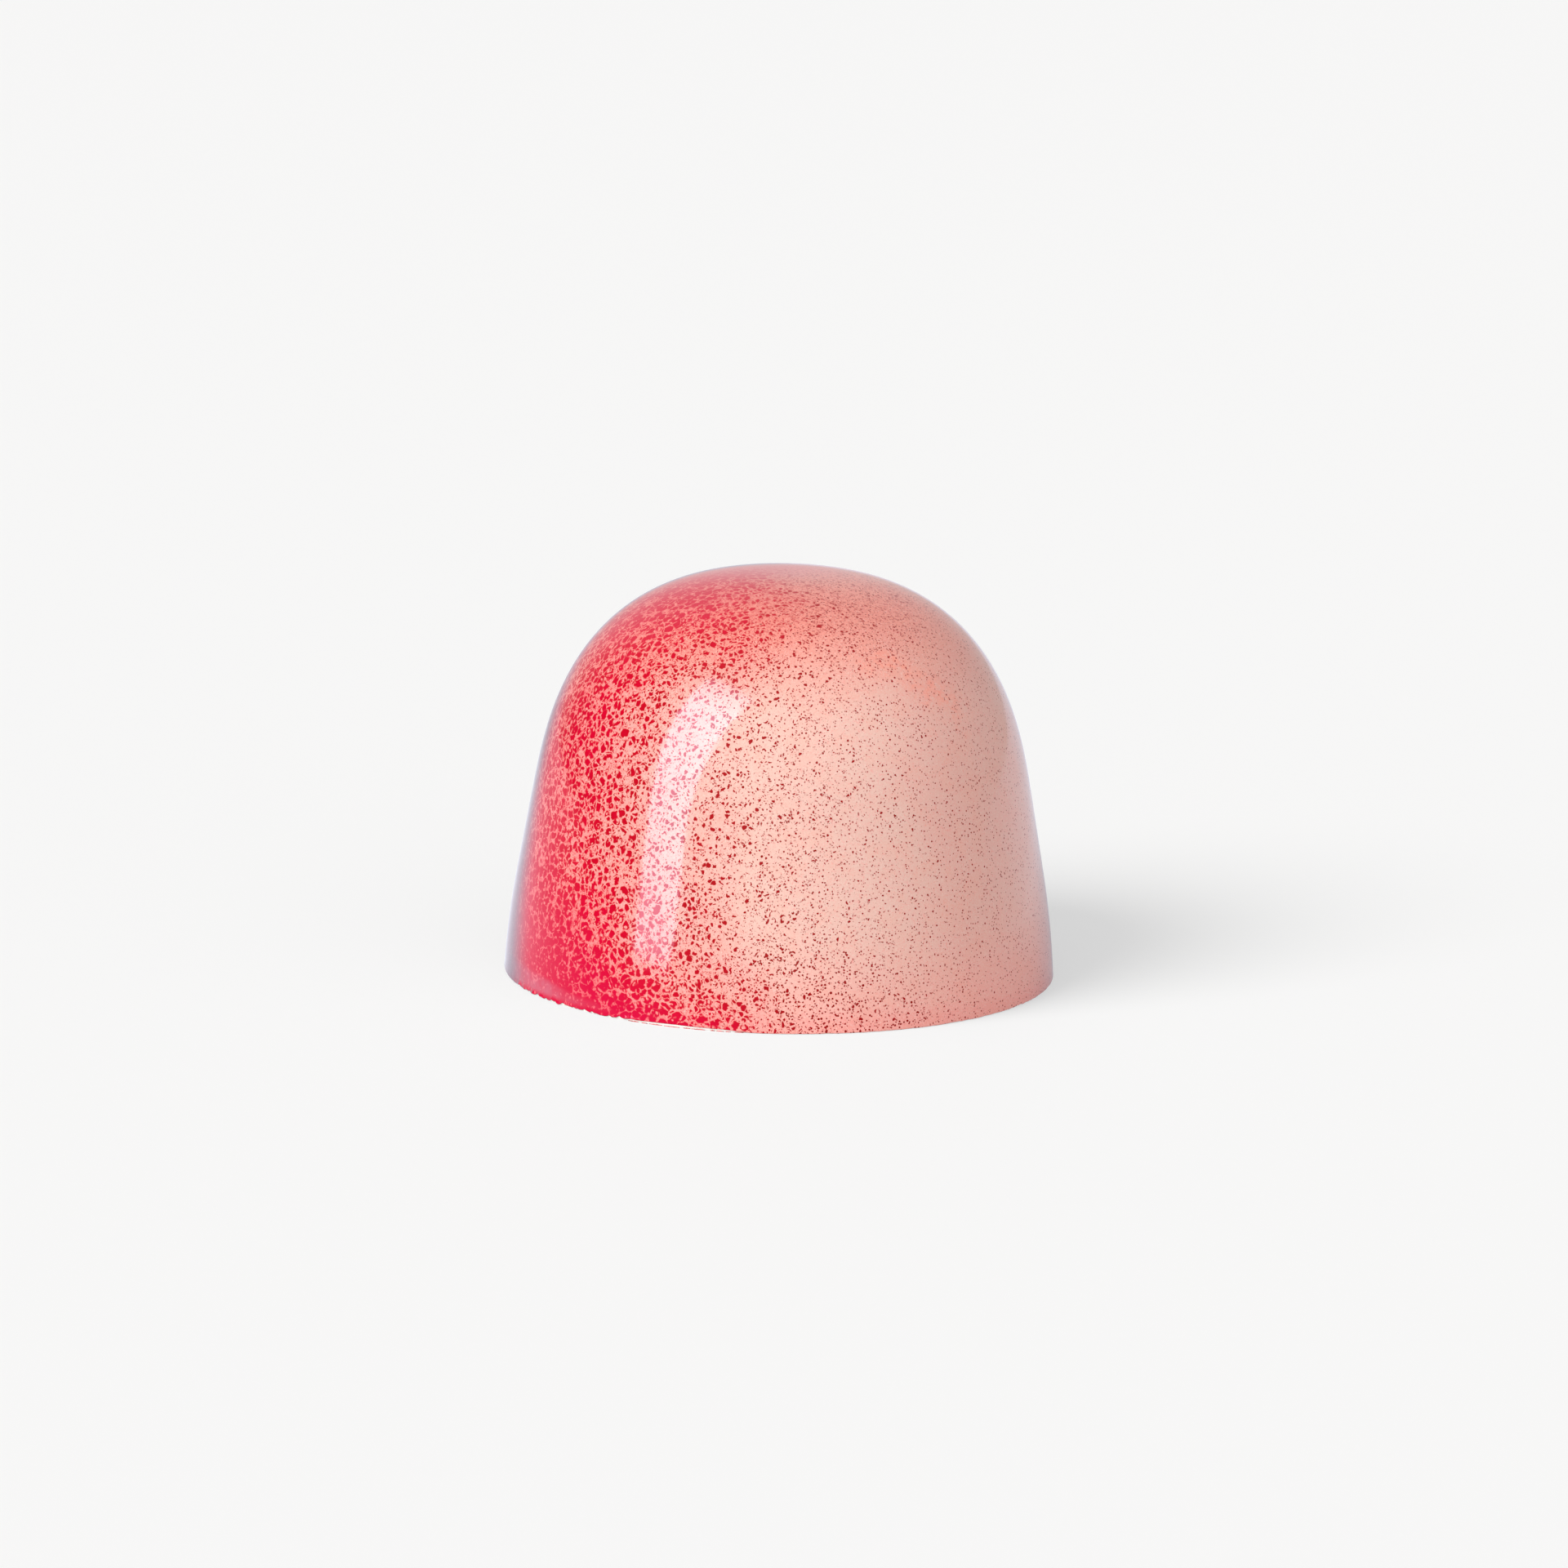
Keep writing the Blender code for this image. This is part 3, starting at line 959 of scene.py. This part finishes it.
def table_finish():
    """Matt and pale, with a glow of its own; the gloss of the dome sees it in another light."""
    material, tree, shader = new_finish("pale_table")
    shader.inputs["Base Color"].default_value = TABLE_PALE
    shader.inputs["Roughness"].default_value = 0.7
    shader.inputs["Specular IOR Level"].default_value = 0.1
    # Light from below fills the shadows in part.
    glow = tree.nodes.new("ShaderNodeEmission")
    glow.inputs["Color"].default_value = TABLE_GLOW
    lit = tree.nodes.new("ShaderNodeMixShader")
    lit.inputs[0].default_value = TABLE_GLOW_SHARE
    tree.links.new(shader.outputs[0], lit.inputs[1])
    tree.links.new(glow.outputs[0], lit.inputs[2])
    # The gloss sees it bright behind and dark in front, and dimmest in the shadow on the right.
    seen = tree.nodes.new("ShaderNodeEmission")
    where = tree.nodes.new("ShaderNodeTexCoord").outputs["Object"]
    past = reckon_vector(tree, "ADD", where, MIRROR_START)
    past = reckon_vector(tree, "NORMALIZE", past)
    behind = reckon_vector(tree, "DOT_PRODUCT", past, (0.0, 1.0, 0.0), result="Value")
    behind = remap(tree, behind, *BRIGHT_BEHIND, "LINEAR")
    side = reckon_vector(tree, "DOT_PRODUCT", where, (1.0, 0.0, 0.0), result="Value")
    side = remap(tree, side, *LEFT_TO_RIGHT)
    off = reckon_vector(tree, "LENGTH", where, result="Value")
    left = remap(tree, off, *BRIGHT_ON_LEFT, "LINEAR")
    right = remap(tree, off, *BRIGHT_ON_RIGHT, "LINEAR")
    shaded = reckon(tree, "MULTIPLY_ADD", side, reckon(tree, "SUBTRACT", right, left), left)
    feed(tree, seen.inputs["Strength"], reckon(tree, "MULTIPLY", behind, shaded))
    seen.inputs["Color"].default_value = MIRRORED_TINT
    ray = tree.nodes.new("ShaderNodeLightPath")
    either = tree.nodes.new("ShaderNodeMixShader")
    tree.links.new(ray.outputs["Is Glossy Ray"], either.inputs[0])
    tree.links.new(lit.outputs[0], either.inputs[1])
    tree.links.new(seen.outputs[0], either.inputs[2])
    tree.links.new(either.outputs[0], tree.nodes["Material Output"].inputs["Surface"])
    return material


def table_mesh():
    shape = bmesh.new()
    bmesh.ops.create_grid(shape, x_segments=8, y_segments=8, size=FLOOR_HALF)
    return finished("table_top", shape, solid=False)


table_top = table_mesh()
table_top.data.materials.append(table_finish())


# ---------------------------------------------------------------------------------------------
# The light. A large soft source from the front left, with a leaning softbox that shows in the
# gloss, in a pale room that is darker behind and at the sides.
# ---------------------------------------------------------------------------------------------

KEY_BEARING = math.radians(-52.0)  # from the viewer's side towards the right
KEY_ELEVATION = math.radians(39.0)
KEY_STRENGTH = 2.7
KEY_BREADTH = math.radians(36.0)
KEY_TINT = (1.0, 0.99, 0.97)


def direction(bearing, elevation):
    """From the object towards this bearing, 0 being the viewer's side."""
    level = math.cos(elevation)
    return Vector((math.sin(bearing) * level, -math.cos(bearing) * level, math.sin(elevation)))


def key_light():
    """The main light. The softbox stands for it in the gloss."""
    light = bpy.data.lights.new("key", "SUN")
    light.energy = KEY_STRENGTH
    light.angle = KEY_BREADTH
    light.color = KEY_TINT
    lamp = bpy.data.objects.new("key", light)
    aim = direction(KEY_BEARING, KEY_ELEVATION)
    lamp.rotation_euler = aim.to_track_quat("Z", "Y").to_euler()
    lamp.visible_glossy = False
    bpy.context.scene.collection.objects.link(lamp)


SOFTBOX_BEARING = math.radians(-54.5)
SOFTBOX_WIDTH = 0.178
SOFTBOX_SLANT = 0.05  # how far its top edge lies to one side of its bottom edge
SOFTBOX_NEAR = 0.2125  # level distance of its top edge from the object
SOFTBOX_FAR = 0.60  # level distance of its bottom edge
SOFTBOX_TOP = 0.345
SOFTBOX_STEPS = 16
SOFTBOX_GLOW = 9.0
SOFTBOX_TINT = (0.90, 0.84, 1.07, 1.0)
SOFTBOX_LOW_FADE = (0.0, 0.55, 0.75, 1.0)
SOFTBOX_HIGH_FADE = (0.80, 1.0, 1.0, 0.50)


def softbox():
    """A leaning panel that only the gloss sees, brightest a little above its middle."""
    shape = bmesh.new()
    out = direction(SOFTBOX_BEARING, 0.0)
    across = Vector((-out.y, out.x, 0.0))
    rows = []
    for i in range(SOFTBOX_STEPS + 1):
        share = i / SOFTBOX_STEPS
        level = SOFTBOX_FAR + (SOFTBOX_NEAR - SOFTBOX_FAR) * share
        middle = out * level + Vector((0.0, 0.0, SOFTBOX_TOP * share)) + across * SOFTBOX_SLANT * share
        row = []
        for j in range(SOFTBOX_STEPS + 1):
            row.append(shape.verts.new(middle + across * SOFTBOX_WIDTH * (j / SOFTBOX_STEPS - 0.5)))
        rows.append(row)
    for lower, upper in zip(rows, rows[1:]):
        for j in range(SOFTBOX_STEPS):
            shape.faces.new((lower[j], lower[j + 1], upper[j + 1], upper[j]))
    panel = finished("softbox", shape, solid=False)

    material, tree, shader = new_finish("softbox_glow")
    tree.nodes.remove(shader)
    glow = tree.nodes.new("ShaderNodeEmission")
    where = tree.nodes.new("ShaderNodeSeparateXYZ")
    feed(tree, where.inputs[0], tree.nodes.new("ShaderNodeTexCoord").outputs["Object"])
    rise = reckon(tree, "DIVIDE", where.outputs["Z"], SOFTBOX_TOP)
    strength = remap(tree, rise, *SOFTBOX_LOW_FADE)
    strength = reckon(tree, "MULTIPLY", strength, remap(tree, rise, *SOFTBOX_HIGH_FADE))
    feed(tree, glow.inputs["Strength"], reckon(tree, "MULTIPLY", strength, SOFTBOX_GLOW))
    glow.inputs["Color"].default_value = SOFTBOX_TINT
    tree.links.new(glow.outputs[0], tree.nodes["Material Output"].inputs["Surface"])
    panel.data.materials.append(material)
    panel.visible_camera = False
    panel.visible_diffuse = False
    panel.visible_shadow = False
    panel.visible_transmission = False


ROOM_GAIN_AND_LEAST = (0.55, 0.45)
ROOM_LOBE = (5.0, 40.0, -0.1, 0.9)  # bearing, elevation, cosines at its outer edge and within
ROOM_DIMMING = (
    # lobe, share of the light that it takes
    ((-105.0, 10.0, 0.3, 0.95), 0.5),
    ((100.0, 15.0, 0.2, 0.95), 0.12),
    ((0.0, 90.0, 0.3, 0.95), 0.35),
)
MIRRORED_LEAST = 0.06
MIRRORED_LOBES = (
    # lobe, light that it adds
    ((20.0, 50.0, 0.3, 0.95), 0.45),
    ((165.0, 15.0, 0.1, 0.9), 0.48),
    ((-160.0, 15.0, 0.5, 0.95), 0.20),
)
MIRRORED_GAP = (-100.0, 0.0, 0.6, 0.95)


def room():
    """The room's light. The gloss sees less of it: a broad pale patch at the front right, a grey
    one behind, and none at the left."""
    world = bpy.data.worlds.new("pale_room")
    world.use_nodes = True
    tree = world.node_tree
    back = tree.nodes["Background"]
    where = tree.nodes.new("ShaderNodeTexCoord").outputs["Generated"]

    def lobe(bearing, elevation, outer, inner):
        aim = tuple(direction(math.radians(bearing), math.radians(elevation)))
        facing = reckon_vector(tree, "DOT_PRODUCT", where, aim, result="Value")
        return remap(tree, facing, outer, inner)

    seen = reckon(tree, "MULTIPLY_ADD", lobe(*ROOM_LOBE), *ROOM_GAIN_AND_LEAST)
    for patch, loss in ROOM_DIMMING:
        dimming = reckon(tree, "MULTIPLY_ADD", lobe(*patch), -loss, 1.0)
        seen = reckon(tree, "MULTIPLY", seen, dimming)
    mirrored = MIRRORED_LEAST
    for patch, gain in MIRRORED_LOBES:
        mirrored = reckon(tree, "MULTIPLY_ADD", lobe(*patch), gain, mirrored)
    gap = reckon(tree, "SUBTRACT", 1.0, lobe(*MIRRORED_GAP))
    mirrored = reckon(tree, "MULTIPLY", mirrored, gap)
    ray = tree.nodes.new("ShaderNodeLightPath")
    either = tree.nodes.new("ShaderNodeMix")
    feed(tree, either.inputs[0], ray.outputs["Is Glossy Ray"])
    feed(tree, either.inputs[2], seen)
    feed(tree, either.inputs[3], mirrored)
    feed(tree, back.inputs["Strength"], either.outputs[0])
    back.inputs["Color"].default_value = (1.0, 1.0, 1.0, 1.0)
    bpy.context.scene.world = world


key_light()
softbox()
room()


# ---------------------------------------------------------------------------------------------
# The camera, a long lens a little above the bonbon and a touch out of level.
# ---------------------------------------------------------------------------------------------

CAMERA_DISTANCE = 0.37035
CAMERA_ELEVATION = math.radians(11.94)
CAMERA_ROLL = math.radians(1.15)
VIEW_WIDTH = 0.08242  # what the frame takes in at the object
SENSOR = 36.0
AIM = Vector((0.00008, 0.0, 0.5 * DOME_HEIGHT - 0.00070))

view = bpy.data.cameras.new("camera")
view.sensor_width = SENSOR
view.lens = SENSOR * CAMERA_DISTANCE / VIEW_WIDTH
view.clip_start = 0.01
view.clip_end = 50.0
camera = bpy.data.objects.new("camera", view)
bpy.context.scene.collection.objects.link(camera)
towards = direction(0.0, CAMERA_ELEVATION)
stand = Matrix.Translation(AIM + towards * CAMERA_DISTANCE)
facing = towards.to_track_quat("Z", "Y").to_matrix().to_4x4()
camera.matrix_world = stand @ facing @ Matrix.Rotation(CAMERA_ROLL, 4, "Z")
bpy.context.scene.camera = camera
bpy.context.scene.view_settings.view_transform = "Standard"
